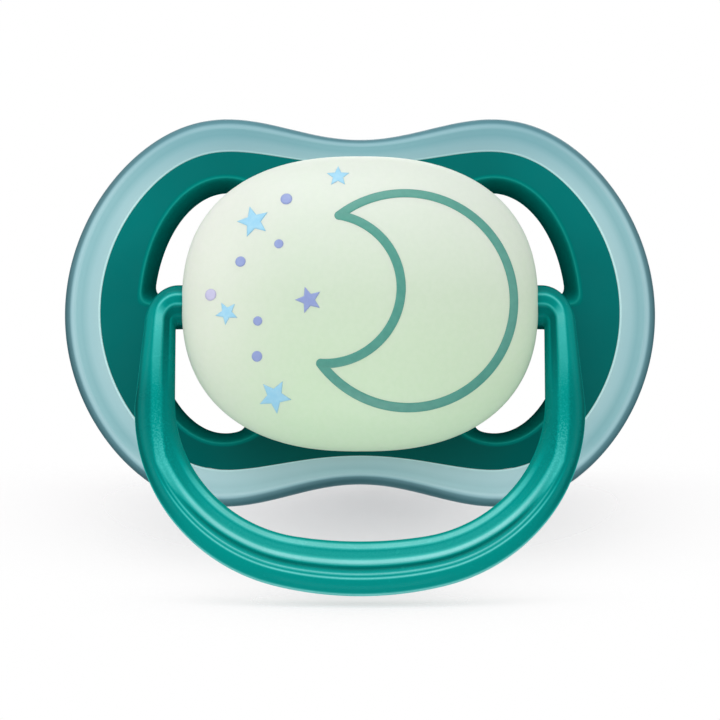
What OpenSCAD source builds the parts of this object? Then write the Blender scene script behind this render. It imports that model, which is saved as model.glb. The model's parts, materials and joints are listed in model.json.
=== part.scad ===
// Pacifier with a butterfly-shaped shield, a ring handle and a silicone teat.
// X runs along the shield, +Z is up, +Y points to the mouth and -Y to the printed cover.
// The origin lies on the teat's axis, at the crown of the cover, where the object rests.
// Each piece is drawn with Y counted from the mouth side of the hub, then moved there.

/* [Shield] */
// Length of the shield from end to end
shield_l = 58; // [50:0.5:64]
// Height of the shield at its waist
waist_h = 33.8; // [31:0.2:36]
// How much higher than the waist the two lobes would rise, per side
lobe_rise = 7.3; // [5:0.1:8.5]
// How sharply the lobes rise from the waist
lobe_sharpness = 4.4; // [3:0.1:6]
// Radius to which the shield bends towards the mouth
bend_r = 206; // [160:2:400]
// Thickness of the hard plate
plate_t = 2.2; // [1.8:0.1:2.4]
// How far the plate's outer band stands towards the mouth from its hub
band_lift = 1.1; // [0.6:0.1:1.4]
// Radius of the hub between the air holes
hub_r = 15.5; // [14.5:0.1:16]
// Width of the plate's thick lip, which lies flush with the rim
lip_w = 1.6; // [1:0.1:2.4]

/* [Rim] */
// Width of the soft rim seen from the front
rim_w = 3.5; // [2.8:0.1:4]
// Thickness of the soft rim
rim_t = 4.1; // [3.6:0.1:4.6]

/* [Air holes] */
// Distance of each hole's centre from the middle of the shield
hole_x = 13.1; // [12.6:0.1:13.6]
// Half width of the oval that outlines a pair of holes
hole_half_w = 7.3; // [6.6:0.1:7.6]
// Half height of that oval
hole_half_h = 11.9; // [11:0.1:12.2]
// Width of the bridge that divides a pair of holes
bridge_w = 4; // [3:0.2:5]

/* [Cover] */
// Length of the button cover
cover_l = 33.4; // [32:0.2:34]
// Height of the button cover
cover_h = 27.7; // [26:0.1:28]
// Distance from the mouth side of the shield to the crown of the cover
crown_y = 15.6; // [15:0.1:16]
// Distance from the mouth side of the shield to the widest line of the cover
widest_y = 8.5; // [8:0.1:9]
// Wall thickness of the cover
cover_wall = 1.4; // [1.2:0.1:1.6]
// Diameter of the socket in each end of the cover
socket_d = 4.2; // [4:0.1:4.4]

/* [Ring handle] */
// Outer width of the ring
ring_l = 42.14; // [42:0.1:44]
// Distance from the pivot to the far edge of the ring
ring_drop = 27.6; // [26:0.2:32]
// Angle to which the ring hangs out from the shield
ring_angle = 15; // [0:1:90]
// Diameter of the ring's rod at the pivots and elbows
rod_d = 3.7; // [3.5:0.1:3.8]
// Width of the grip band at the far end of the ring
grip_w = 4.8; // [4.2:0.1:6]
// Thickness of the grip band
grip_t = 3.2; // [2.8:0.1:3.6]
// Distance of the pivot from the mouth side of the shield
pivot_y = 6.8; // [6.6:0.1:7]
// Radial running clearance of a pin in its bearing
pin_clearance = 0.05; // [0.03:0.01:0.1]

/* [Teat] */
// Length of the teat from the shield to its tip
teat_l = 28.2; // [24:0.2:33]
// Largest diameter of the bulb
bulb_d = 14; // [12:0.2:16]
// Distance of the bulb's largest diameter from the shield
bulb_y = 18.5; // [16:0.1:20]
// Outer diameter of the neck
neck_d = 8.3; // [8:0.1:8.8]
// Wall thickness of the bulb
teat_wall = 1.6; // [1.2:0.1:2]
// Diameter of the flange that holds the teat
flange_d = 14; // [13:0.2:15]
// Thickness of the flange
flange_t = 1.5; // [1.2:0.1:1.6]

/* [Hidden] */

gap = 0.05;                  // clearance between neighbouring pieces
$fn = 96;
stations = 120;              // steps round an outline
bend_fn = 720;               // fineness of the large bending radius

half_l = shield_l / 2;
waist = waist_h / 2;
boundary_step = 360 / stations;
oval_step = 5;               // step round the cover and the housing
rim_mid_y = band_lift - rim_t / 2;           // middle of the rim's thickness at the waist
rim_power = 0.78;            // below 1, it flattens the rim's faces and rounds its edge

oval_n = 2.4;                // squareness of the cover's outline
cover_back_y = -3.4;         // back edge of the cover
flat_angle = 80;             // where the dome ends in its flat crown
dome_h = (crown_y - widest_y) / sin(flat_angle);
back_taper = 0.95;           // width of the back edge against the widest line

housing_l = cover_l - 6.4;
housing_h = cover_h - 6.4;
housing_y = -10.6;           // front face of the housing
post_x = 8.6;                // places of the cover's snap posts
post_z = 6;
post_d = 2.4;
post_depth = 2.2;            // how far a post reaches into the housing
post_root_y = 2.4 - crown_y; // where a post stands in the cover's wall
pin_end = 9.6;               // inner end of each pivot pin

plug_d = 10.4;               // head of the plug
plug_t = 1.6;
plug_tip_y = 2.1;            // how far the plug reaches into the neck
plug_root_d = 4.1;
plug_tip_d = 2.6;
cavity_d = 4.3;              // hollow of the neck at the shield
throat_d = 3.5;              // narrowest place of that hollow
throat_y = 7.3;
neck_top_y = 6.5;            // where the neck begins to swell

flange_y = -plate_t - flange_t;
elbow_r = 2.1;               // centre-line radius of the ring's elbows
leg_x = ring_l / 2 - rod_d / 2;
elbow_x = leg_x - elbow_r;

// ---------- outlines ----------

// Height of the butterfly outline, for its angle parameter a
function lobe(a) = waist + lobe_rise * (1 - exp(-lobe_sharpness * cos(a) ^ 2));

// A point of the shield's outline
function edge(a) = [half_l * cos(a), sin(a) * lobe(a)];

// Unit vector that points out of the outline at a
function outward(a) =
    let (d = edge(a + 0.5) - edge(a - 0.5))
    [d.y, -d.x] / norm(d);

// The outline moved inwards by w
function inset(a, w) = edge(a) - w * outward(a);

// Height that the bend gives a point at x
function bend(x) = bend_r - sqrt(bend_r ^ 2 - x ^ 2);

// A power that keeps the sign
function signed_pow(v, p) = sign(v) * abs(v) ^ p;

// A point of a squared oval with half axes a and b
function oval(t, a, b) =
    [a * signed_pow(cos(t), 2 / oval_n), b * signed_pow(sin(t), 2 / oval_n)];

// ---------- helpers ----------

// Extrudes a shape drawn in X and Z from y0 to y1
module along_y(y0, y1)
    translate([0, y1, 0]) rotate([90, 0, 0]) linear_extrude(y1 - y0) children();

// A slab between y0 and y1 that bends towards the mouth at both ends
module bent_slab(y0, y1)
    difference() {
        translate([0, bend_r + y0, -30]) cylinder(r = bend_r, h = 60, $fn = bend_fn);
        translate([0, bend_r + y1, -31]) cylinder(r = bend_r, h = 62, $fn = bend_fn);
    }

// A closed skin through rings of points, each ring with n points, capped at both ends.
// With loop set, the last ring joins the first one instead.
module skin(rings, loop = false) {
    n = len(rings[0]);
    count = len(rings);
    last = loop ? count - 1 : count - 2;
    sides = [for (i = [0 : last], j = [0 : n - 1])
        let (a = i * n, b = ((i + 1) % count) * n, k = (j + 1) % n)
        [a + j, b + j, b + k, a + k]];
    first_cap = [for (j = [0 : n - 1]) j];
    last_cap = [for (j = [n - 1 : -1 : 0]) (count - 1) * n + j];
    polyhedron([for (ring = rings) each ring],
               loop ? sides : concat(sides, [first_cap, last_cap]), convexity = 8);
}

// Repeats its children on both ends of the shield
module both_ends() {
    children();
    mirror([1, 0, 0]) children();
}

// ---------- shield ----------

// The shield's outline moved inwards by w
module shield_outline(w)
    polygon([for (i = [0 : stations - 1]) inset(i * boundary_step, w)]);

// One pair of air holes, before the bridge divides it
module hole_pair()
    polygon([for (t = [0 : 5 : 355]) [hole_x + hole_half_w * cos(t), hole_half_h * sin(t)]]);

// The bridges that divide the pairs of holes
module bridges()
    square([2 * (hole_x + hole_half_w + 1), bridge_w], center = true);

module shield_plate() {
    color("#046b66") {
        difference() {
            intersection() {
                along_y(-8, 8) shield_outline(rim_w);
                union() {
                    // thick lip along the rim
                    intersection() {
                        bent_slab(band_lift - rim_t, band_lift);
                        along_y(-8, 8) difference() {
                            shield_outline(rim_w);
                            shield_outline(rim_w + lip_w);
                        }
                    }
                    // outer band, which stands out towards the mouth
                    intersection() {
                        bent_slab(band_lift - plate_t, band_lift);
                        along_y(-8, 8) difference() {
                            shield_outline(rim_w);
                            circle(r = hub_r - 3);
                        }
                    }
                    // hub, which carries the teat
                    intersection() {
                        bent_slab(-plate_t, 0);
                        along_y(-8, 8) union() {
                            circle(r = hub_r);
                            bridges();
                        }
                    }
                }
            }
            along_y(-9, 9) both_ends() difference() {
                hole_pair();
                circle(r = hub_r);
                bridges();
            }
            along_y(-10, 10) circle(d = neck_d + 2 * gap);
        }
    }
}

// Cross-section of the rim at angle a: a rounded lip with a flat inner face
function rim_ring(a) =
    let (p = inset(a, rim_w), n = outward(a), steps = 14)
    [for (i = [0 : steps])
        let (t = -90 + 180 * i / steps,
             u = rim_w * signed_pow(cos(t), rim_power),
             q = p + u * n,
             y = rim_mid_y + rim_t / 2 * signed_pow(sin(t), rim_power) + bend(q.x))
        [q.x, y, q.y]];

module shield_rim()
    color("#8fbdc1") skin([for (i = [0 : stations - 1]) rim_ring(i * boundary_step)], true);

// ---------- cover ----------

// One level of the dome: t is its angle, from 0 at the widest line, and wall the inset
function dome_ring(t, wall) =
    [for (a = [0 : oval_step : 359])
        let (p = oval(a, (cover_l / 2 - wall) * cos(t),
                      (cover_h / 2 - wall) * cos(t)))
        [p.x, -widest_y - (dome_h - wall) * sin(t), p.y]];

// A level of the skirt between the widest line and the back edge, f of the way back
function skirt_ring(f, wall, y) =
    let (s = 1 - (1 - back_taper) * f ^ 2)
    [for (a = [0 : oval_step : 359])
        let (p = oval(a, (cover_l / 2 - wall) * s, (cover_h / 2 - wall) * s))
        [p.x, y, p.y]];

// The cover's form, inset by wall and reaching back to y_back
module cover_form(wall, y_back)
    skin(concat(
        [for (f = [1 : -0.25 : 0.25])
            skirt_ring(f, wall, -widest_y + (y_back + widest_y) * f)],
        [for (t = [0 : 10 : flat_angle]) dome_ring(t, wall)]));

// The four places of the snap posts, in X and Z
module at_posts()
    for (x = [-post_x, post_x], z = [-post_z, post_z])
        translate([x, z]) children();

module button_cover() {
    color("#d6e6cb") {
        difference() {
            cover_form(0, cover_back_y);
            cover_form(cover_wall, cover_back_y + 1);
            translate([-30, -pivot_y, 0]) rotate([0, 90, 0]) cylinder(d = socket_d, h = 60);
        }
        // snap posts that reach from the crown into the housing
        along_y(post_root_y, housing_y + post_depth) at_posts() circle(d = post_d, $fn = 32);
    }
}

// ---------- inside ----------

module base_housing() {
    color("#dfe7dc") difference() {
        along_y(housing_y, -plate_t)
            polygon([for (a = [0 : oval_step : 359]) oval(a, housing_l / 2, housing_h / 2)]);
        // pocket for the teat's flange
        along_y(flange_y, 0) circle(d = flange_d + 2 * gap);
        // pocket for the plug's head
        along_y(flange_y - plug_t, 0) circle(d = plug_d + 2 * gap);
        // bearings of the ring
        both_ends() translate([pin_end - 0.2, -pivot_y, 0]) rotate([0, 90, 0])
            cylinder(d = rod_d + 2 * pin_clearance, h = 12);
        // seats of the cover's snap posts
        along_y(housing_y - 1, housing_y + post_depth + 0.2) at_posts()
            circle(d = post_d + 2 * gap, $fn = 32);
    }
}

module teat_plug() {
    color("#0b7f78") {
        difference() {
            union() {
                along_y(flange_y - plug_t, flange_y - gap) circle(d = plug_d);
                translate([0, flange_y - plug_t, 0]) rotate([-90, 0, 0])
                    cylinder(d = plug_root_d, h = plug_t - flange_y);
                rotate([-90, 0, 0])
                    cylinder(d1 = plug_root_d, d2 = plug_tip_d, h = plug_tip_y);
            }
            // two slots across the tip
            for (y = [0.35, 1.25])
                translate([-5, y, -0.9]) cube([10, 0.5, 1.8]);
        }
    }
}

// Rises smoothly from a to b while y runs from y0 to y1
function swell(y, y0, y1, a, b) =
    let (u = max(0, min(1, (y - y0) / (y1 - y0))))
    a + (b - a) * u * u * (3 - 2 * u);

// Radius of a rounded end of radius r that starts at the bulb's widest line and ends at y1
function dome_r(y, y1, r) = r * sqrt(max(0, 1 - ((y - bulb_y) / (y1 - bulb_y)) ^ 2));

// Radius of the teat's skin, and of its hollow, at the distance y from the shield
function skin_r(y) =
    y < bulb_y ? swell(y, neck_top_y, bulb_y, neck_d / 2, bulb_d / 2)
        : dome_r(y, teat_l, bulb_d / 2);
function hollow_r(y) =
    y < bulb_y ? swell(y, throat_y, bulb_y, throat_d / 2, bulb_d / 2 - teat_wall)
        : dome_r(y, teat_l - teat_wall, bulb_d / 2 - teat_wall);

// Steps from y0 to y1 that get closer together towards y1
function steps_to(y0, y1) = [for (t = [0 : 5 : 90]) y0 + (y1 - y0) * sin(t)];

module teat() {
    up = steps_to(neck_top_y, teat_l);
    down = [for (y = steps_to(throat_y, teat_l - teat_wall)) [hollow_r(y), y]];
    profile = concat(
        [[cavity_d / 2, flange_y], [flange_d / 2, flange_y],
         [flange_d / 2, -plate_t - gap], [neck_d / 2, -plate_t - gap]],
        [for (y = up) [skin_r(y), y]],
        [for (i = [len(down) - 1 : -1 : 0]) down[i]],
        [[cavity_d / 2, plug_tip_y]]);
    color("#eef2f1", 0.6) rotate([-90, 0, 0]) rotate_extrude() polygon(profile);
}

// ---------- ring handle ----------

// A point of an arch of legs, corners and bottom arc whose normal points psi below +X
function arch_point(psi, half_w, corner_r, bottom_r, drop) =
    let (cx = half_w - corner_r,
         zb = bottom_r - drop,
         zc = zb - sqrt((bottom_r - corner_r) ^ 2 - cx ^ 2),
         split = atan2(zb - zc, cx),
         d = [cos(psi), -sin(psi)])
    psi < split ? [cx, zc] + corner_r * d
        : psi > 180 - split ? [-cx, zc] + corner_r * d
        : [0, zb] + bottom_r * d;

// Centre and half width of the ring's band at normal angle psi
function band_outer(psi) = arch_point(psi, ring_l / 2, 16.4, 35.5, ring_drop);
function band_inner(psi) =
    arch_point(psi, ring_l / 2 - rod_d, 12.4, 21.3, ring_drop - grip_w);

// A rounded cross-section between an inner and an outer point, half_t to each side in Y
function band_ring(p_in, p_out, half_t) =
    let (c = (p_in + p_out) / 2, h = (p_out - p_in) / 2)
    [for (k = [0 : 19])
        let (t = k * 18, q = c + h * signed_pow(cos(t), 0.9))
        [q.x, -half_t * signed_pow(sin(t), 0.9), q.y]];

// One of the ring's two straight legs, from its elbow down: side is 1 or -1
function leg_rings(side) =
    let (top = -elbow_r, end = band_outer(0).y)
    [for (f = [0 : 1 / 3 : 0.9])
        let (z = top + (end - top) * f)
        band_ring([side * (ring_l / 2 - rod_d), z], [side * ring_l / 2, z],
                  (rod_d + (grip_t - rod_d) * f) / 2)];

// The ring hanging straight down from its pivot
module hanging_ring() {
    right_leg = leg_rings(1);
    left_leg = leg_rings(-1);
    bow = [for (psi = [0 : 5 : 180]) band_ring(band_inner(psi), band_outer(psi), grip_t / 2)];
    skin(concat(right_leg, bow, [for (i = [len(left_leg) - 1 : -1 : 0]) left_leg[i]]));
    both_ends() {
        translate([elbow_x, 0, -elbow_r]) rotate([90, 0, 0])
            rotate_extrude(angle = 90) translate([elbow_r, 0]) circle(d = rod_d);
        translate([pin_end, 0, 0]) rotate([0, 90, 0])
            cylinder(d = rod_d, h = elbow_x - pin_end);
    }
}

module handle_ring()
    color("#12908a") translate([0, -pivot_y, 0]) rotate([-ring_angle, 0, 0]) hanging_ring();

// ---------- assembly ----------

// Moves a piece so that the crown of the cover lies at the origin
module from_crown() translate([0, crown_y, 0]) children();

from_crown() shield_plate();
from_crown() shield_rim();
from_crown() button_cover();
from_crown() handle_ring();
from_crown() teat();
from_crown() teat_plug();
from_crown() base_housing();
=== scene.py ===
"""Looks of the pacifier: the shield, soft rim, printed cover, clear ring and silicone teat.

Shapes are worked out in millimetres: X runs along the shield, +Z is up, -Y faces the printed cover and
+Y the mouth. Y is counted from the mouth side of the hub, and in_frame() moves points from there into
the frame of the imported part, in metres.
"""

import json
import math

import bpy
import numpy as np
from mathutils import Matrix, Vector
from mathutils.geometry import delaunay_2d_cdt


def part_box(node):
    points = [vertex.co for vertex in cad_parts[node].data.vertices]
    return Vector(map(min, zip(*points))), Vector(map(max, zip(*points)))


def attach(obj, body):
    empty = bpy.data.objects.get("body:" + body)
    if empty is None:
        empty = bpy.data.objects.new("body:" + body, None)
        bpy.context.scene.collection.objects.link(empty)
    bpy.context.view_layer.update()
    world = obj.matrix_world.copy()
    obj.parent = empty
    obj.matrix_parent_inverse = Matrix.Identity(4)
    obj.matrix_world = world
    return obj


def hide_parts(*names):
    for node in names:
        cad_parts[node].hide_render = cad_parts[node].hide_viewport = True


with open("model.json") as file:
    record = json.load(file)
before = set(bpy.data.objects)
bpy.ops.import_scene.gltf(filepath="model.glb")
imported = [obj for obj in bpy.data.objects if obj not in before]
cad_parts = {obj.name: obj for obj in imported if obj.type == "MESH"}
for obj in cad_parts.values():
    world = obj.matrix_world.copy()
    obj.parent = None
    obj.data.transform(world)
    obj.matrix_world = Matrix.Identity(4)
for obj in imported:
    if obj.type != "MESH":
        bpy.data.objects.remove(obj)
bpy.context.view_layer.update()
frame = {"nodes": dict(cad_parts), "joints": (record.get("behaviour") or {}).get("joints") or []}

MM = 0.001
CROWN_TO_HUB = 15.6         # from the cover's crown, the frame's origin, to the hub's mouth side
TO_HUB = np.array([0, CROWN_TO_HUB, 0])


def cad_mm(node):
    """The lowest and highest corners of a CAD node, in millimetres from the hub."""
    low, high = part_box(node)
    return np.array(low) / MM - TO_HUB, np.array(high) / MM - TO_HUB


def in_frame(points):
    """Points in millimetres from the hub, as metres in the part's frame."""
    return (np.asarray(points, float) + TO_HUB) * MM


# ---------- sizes, in millimetres and degrees ----------

rim_low, rim_high = cad_mm("shield_rim")
cover_low, cover_high = cad_mm("button_cover")
ring_low, ring_high = cad_mm("handle_ring")
teat_low, teat_high = cad_mm("teat")
plate_low, plate_high = cad_mm("shield_plate")
plug_low, plug_high = cad_mm("teat_plug")
pivot = np.array(frame["joints"][0]["pos_m"]) / MM - TO_HUB

HALF_L = rim_high[0] + 0.15     # half length of the shield
WAIST = 16.9                # half height at the waist
LOBE_RISE = 7.5             # how much higher the lobes would rise
LOBE_SHARPNESS = 4.4
BEND_R = 206.0              # radius to which the shield bends towards the mouth
RIM_W = 3.5                 # width and thickness of the soft rim
RIM_T = 4.1
BAND_LIFT = 1.1             # mouth side of the plate's outer band
PLATE_T = 2.2
LIP_Y = BAND_LIFT - RIM_T   # front of the plate where it is flush with the rim
RIM_MID = BAND_LIFT - RIM_T / 2

HUB_R = 15.5
HOLE_X = 13.1               # oval that outlines a pair of air holes
HOLE_HALF_W = 7.3
HOLE_HALF_H = 11.9
BRIDGE_HALF_W = 1.6
HOLE_ROUND = 1.3            # softness of the holes' corners
HOLE_SKIRT = 1.46           # width of the moulded edge round each hole
NECK_HOLE_R = 4.2

COVER_A = cover_high[0]     # half length and half height of the cover
COVER_B = cover_high[2]
COVER_N = 2.4               # squareness of its outline
WIDEST_Y = 8.5
DOME_H = -cover_low[1] - WIDEST_Y
COVER_BACK = -cover_high[1]
COVER_WALL = 1.4
BACK_TAPER = 0.95
SOCKET_R = 2.1

RING_ANGLE = 15.0           # angle to which the ring hangs out from the shield
RING_HALF_L = ring_high[0]
RING_DROP = 27.6
ROD_D = 3.7
GRIP_W = 4.8
GRIP_T = 3.2
ELBOW_R = 2.1
ELBOW_W = 3.15
PIN_END = 9.6

TEAT_L = teat_high[1]
BULB_R = teat_high[0]
BULB_Y = 18.5
NECK_R = 4.15
NECK_TOP = 6.5
FLANGE_Y = teat_low[1]
TEAT_WALL = 1.6
CAVITY_R = 2.15
THROAT_R = 1.75
THROAT_Y = 7.3
PLUG_TIP_Y = plug_high[1]


# ---------- small helpers ----------

def power(v, p):
    """A power that keeps the sign."""
    return np.sign(v) * np.abs(v) ** p


def smooth(v, low, high):
    """Rises smoothly from 0 to 1 while v runs from low to high."""
    u = np.clip((v - low) / (high - low), 0, 1)
    return u * u * (3 - 2 * u)


def bell(v, middle, width):
    """A smooth bump of height 1."""
    return np.exp(-((v - middle) / width) ** 2)


def bend(x):
    """Height that the shield's bend gives a point at x."""
    return BEND_R - np.sqrt(BEND_R ** 2 - x ** 2)


def edge(a):
    """Points of the shield's butterfly outline."""
    c, s = np.cos(a), np.sin(a)
    lobe = WAIST + LOBE_RISE * (1 - np.exp(-LOBE_SHARPNESS * c ** 2))
    return np.stack([HALF_L * c, s * lobe], -1)


def outward(a):
    """Unit vectors that point out of the outline."""
    d = edge(a + 0.01) - edge(a - 0.01)
    n = np.stack([d[..., 1], -d[..., 0]], -1)
    return n / np.linalg.norm(n, axis=-1, keepdims=True)


def inset(a, w):
    """The outline moved inwards by w, one width or one for each angle."""
    return edge(a) - np.asarray(w)[..., None] * outward(a)


def rim_width(a):
    """Width of the soft rim: widest at the ends and narrowest at the waist."""
    return RIM_W + 0.12 + 0.2 * np.cos(a) ** 4 - 0.85 * bell(np.cos(a), 0, 0.28)


def full_turn(n):
    """n angles round a full turn."""
    return np.linspace(0, 2 * math.pi, n, endpoint=False)


# ---------- mesh making ----------

def add_mesh(name, points, faces, body, material, sharp=None):
    """A smooth mesh object from points in millimetres, riding on a body."""
    mesh = bpy.data.meshes.new(name)
    mesh.from_pydata(in_frame(points).tolist(), [], [list(map(int, f)) for f in faces])
    mesh.validate()
    mesh.update()
    mesh.polygons.foreach_set("use_smooth", [True] * len(mesh.polygons))
    if sharp:
        mesh.set_sharp_from_angle(angle=math.radians(sharp))
    mesh.materials.append(material)
    piece = bpy.data.objects.new(name, mesh)
    bpy.context.scene.collection.objects.link(piece)
    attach(piece, body)
    return piece


def strip_faces(first, second, flip=False):
    """Quads between two closed loops of point numbers."""
    n = len(first)
    quads = [(first[i], first[(i + 1) % n], second[(i + 1) % n], second[i]) for i in range(n)]
    return [q[::-1] for q in quads] if flip else quads


def sweep_faces(count, n, closed, capped=False):
    """Faces of a skin over count rings of n points."""
    rings = [list(range(i * n, (i + 1) * n)) for i in range(count)]
    faces = []
    for i in range(count if closed else count - 1):
        faces += strip_faces(rings[i], rings[(i + 1) % count])
    if capped:
        faces += [rings[0], rings[-1][::-1]]
    return faces


def orient(piece):
    """Turns a closed mesh's faces outwards."""
    import bmesh
    bm = bmesh.new()
    bm.from_mesh(piece.data)
    bmesh.ops.recalc_face_normals(bm, faces=bm.faces)
    bm.to_mesh(piece.data)
    bm.free()


def add_attribute(piece, name, values):
    """Stores one number per point, for the piece's material."""
    made = piece.data.attributes.new(name, "FLOAT", "POINT")
    made.data.foreach_set("value", np.asarray(values, np.float32))


# ---------- materials ----------

def srgb(r, g, b):
    """A colour given by its 0 to 255 screen values."""
    def linear(v):
        v /= 255
        return v / 12.92 if v <= 0.04045 else ((v + 0.055) / 1.055) ** 2.4
    return (linear(r), linear(g), linear(b), 1.0)


class Shader:
    """A node material with a Principled surface, and short calls that add nodes."""

    def __init__(self, name):
        self.material = bpy.data.materials.new(name)
        self.material.use_nodes = True
        self.tree = self.material.node_tree
        self.surface = self.tree.nodes["Principled BSDF"]
        self.output = self.tree.nodes["Material Output"]

    def set(self, **values):
        """Sets inputs of the surface, named with _ for each space."""
        for key, value in values.items():
            socket = self.surface.inputs[key.replace("_", " ")]
            if hasattr(value, "is_linked"):
                self.tree.links.new(value, socket)
            else:
                socket.default_value = value

    def node(self, kind, **inputs):
        made = self.tree.nodes.new(kind)
        for key, value in inputs.items():
            socket = made.inputs[key.replace("_", " ")] if isinstance(key, str) else made.inputs[key]
            if hasattr(value, "is_linked"):
                self.tree.links.new(value, socket)
            else:
                socket.default_value = value
        return made

    def attribute(self, name):
        """A number stored on the mesh."""
        made = self.node("ShaderNodeAttribute")
        made.attribute_name = name
        return made.outputs["Fac"]

    def color_ramp(self, value, stops):
        """A colour that runs through (place, colour) stops."""
        made = self.node("ShaderNodeValToRGB", Fac=value)
        ramp = made.color_ramp
        for place, _ in stops[2:]:
            ramp.elements.new(place)
        for element, (place, colour) in zip(ramp.elements, stops):
            element.position, element.color = place, colour
        return made.outputs["Color"]

    def math(self, operation, a, b):
        made = self.node("ShaderNodeMath")
        made.operation = operation
        self.tree.links.new(a, made.inputs[0])
        self.tree.links.new(b, made.inputs[1])
        return made.outputs[0]

    def position(self):
        return self.node("ShaderNodeTexCoord").outputs["Object"]

    def axis(self, name):
        """One coordinate of the point, in metres."""
        split = self.node("ShaderNodeSeparateXYZ", Vector=self.position())
        return split.outputs[name]

    def noise(self, size, detail=2.0):
        """Noise whose features are about size millimetres."""
        made = self.node("ShaderNodeTexNoise", Vector=self.position(), Scale=1 / (size * MM), Detail=detail)
        return made.outputs["Fac"]

    def ramp(self, value, low, high, out_low=0.0, out_high=1.0):
        """Maps value from low..high to out_low..out_high."""
        made = self.tree.nodes.new("ShaderNodeMapRange")
        self.tree.links.new(value, made.inputs["Value"])
        for key, number in zip(("From Min", "From Max", "To Min", "To Max"), (low, high, out_low, out_high)):
            made.inputs[key].default_value = number
        made.interpolation_type = "SMOOTHSTEP"
        return made.outputs["Result"]

    def mix(self, factor, a, b):
        """A colour between a and b."""
        made = self.tree.nodes.new("ShaderNodeMix")
        made.data_type = "RGBA"
        for index, value in ((0, factor), (6, a), (7, b)):
            if hasattr(value, "is_linked"):
                self.tree.links.new(value, made.inputs[index])
            else:
                made.inputs[index].default_value = value
        return made.outputs[2]

    def facing(self, blend):
        """0 where the surface faces the viewer and 1 where it is seen edge on."""
        return self.node("ShaderNodeLayerWeight", Blend=blend).outputs["Facing"]

    def bump(self, height, strength, distance):
        made = self.node("ShaderNodeBump", Height=height, Strength=strength, Distance=distance * MM)
        return made.outputs["Normal"]


def rim_material():
    """Milky elastomer: painted pale along the edge it shares with the plate, as a painted highlight, and painted dark
    along its outer side, as painted shade.

    A little emission, a painted glow, stands for the light that wanders through it.
    """
    s = Shader("soft_rim")
    across = s.attribute("across")
    # painted highlights and painted shade in bands across the rim: pale by the plate, a light line at the crease,
    # dark over the outer rounding
    bands = s.color_ramp(across, [
        (0.00, srgb(212, 244, 242)), (0.03, srgb(192, 228, 228)), (0.065, srgb(160, 193, 197)),
        (0.30, srgb(152, 188, 193)), (0.50, srgb(128, 172, 177)), (0.66, srgb(136, 178, 183)),
        (0.76, srgb(156, 190, 196)), (0.81, srgb(138, 176, 183)), (0.865, srgb(84, 122, 130)),
        (1.00, srgb(46, 84, 91))])
    cloudy = s.mix(s.ramp(s.noise(8), 0.3, 0.7, 0, 0.10), bands, srgb(120, 178, 188))
    # painted shade over the top of the rim, and painted light low down on its inner part
    upper = s.mix(s.ramp(s.axis("Z"), 9 * MM, 21 * MM, 0, 0.54), cloudy, srgb(84, 138, 150))
    lower = s.math("MULTIPLY", s.ramp(s.axis("Z"), -17 * MM, -12 * MM, 0.34, 0), s.ramp(across, 0.72, 0.8, 1, 0))
    shaded = s.mix(lower, upper, srgb(204, 228, 232))
    # painted shade where the rim is seen edge on; the emission makes the rim glow faintly, a painted glow
    tint = s.mix(s.ramp(s.facing(0.4), 0.45, 0.95), shaded, srgb(66, 108, 118))
    s.set(Base_Color=tint, Emission_Color=tint, Emission_Strength=0.24)
    s.set(Roughness=s.ramp(s.noise(1.5), 0.3, 0.7, 0.28, 0.36))
    s.set(Transmission_Weight=0.12, IOR=1.44, Specular_IOR_Level=0.2)
    return s.material


def plate_material():
    """Deep teal moulded plastic with a satin gloss, with painted shade low down and down each hole's wall, and a
    painted highlight on the bead round each hole.
    """
    s = Shader("teal_plate")
    # painted shade: the plate is darker towards the bottom
    low_to_high = s.ramp(s.axis("Z"), -15 * MM, 8 * MM)
    flat = s.mix(low_to_high, srgb(0, 96, 92), srgb(0, 119, 116))
    flat = s.mix(s.ramp(s.noise(12), 0.35, 0.65, 0, 0.35), flat, srgb(0, 104, 101))
    # painted shade down each hole's wall, and a painted highlight on the bead round it
    hole_shade_and_bead_light = s.color_ramp(s.attribute("hole_edge"), [
        (0.00, srgb(0, 84, 79)), (0.25, srgb(0, 104, 98)), (0.48, srgb(0, 118, 111)), (0.62, srgb(4, 130, 122)),
        (0.71, srgb(24, 148, 138)), (0.80, srgb(4, 126, 119)), (1.00, srgb(0, 112, 107))])
    away = s.ramp(s.attribute("hole_edge"), 0.85, 1.0)
    s.set(Base_Color=s.mix(away, hole_shade_and_bead_light, flat))
    s.set(Roughness=s.ramp(s.noise(2), 0.3, 0.7, 0.28, 0.36))
    s.set(Specular_IOR_Level=s.ramp(away, 0, 1, 0, 0.08))
    s.set(IOR=1.49, Normal=s.bump(s.noise(0.3), 0.03, 0.04))
    return s.material


def cover_material():
    """Pale green satin plastic that stores light, slightly milky; painted light makes it lighter towards its top and
    its left end.
    """
    s = Shader("glow_cover")
    # painted light: lighter and paler towards the top
    low_to_high = s.ramp(s.axis("Z"), -COVER_B * MM, COVER_B * MM)
    tint = s.color_ramp(low_to_high, [
        (0.0, srgb(207, 231, 199)), (0.5, srgb(207, 224, 201)), (1.0, srgb(222, 230, 219))])
    # painted light: paler and lighter towards the left end
    tint = s.mix(s.ramp(s.axis("X"), -COVER_A * MM, -4 * MM, 0.4, 0), tint, srgb(236, 231, 228))
    speckle = s.ramp(s.noise(0.5, 4), 0.35, 0.65)
    s.set(Base_Color=s.mix(speckle, tint, s.mix(0.04, tint, srgb(255, 255, 250))))
    s.set(Roughness=s.ramp(s.noise(1.2), 0.3, 0.7, 0.38, 0.46))
    s.set(Subsurface_Weight=0.2, Subsurface_Radius=(0.8, 1.0, 0.7), Subsurface_Scale=1.2 * MM)
    s.set(IOR=1.47, Specular_IOR_Level=0.3, Normal=s.bump(s.noise(0.4), 0.04, 0.04))
    return s.material


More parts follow.
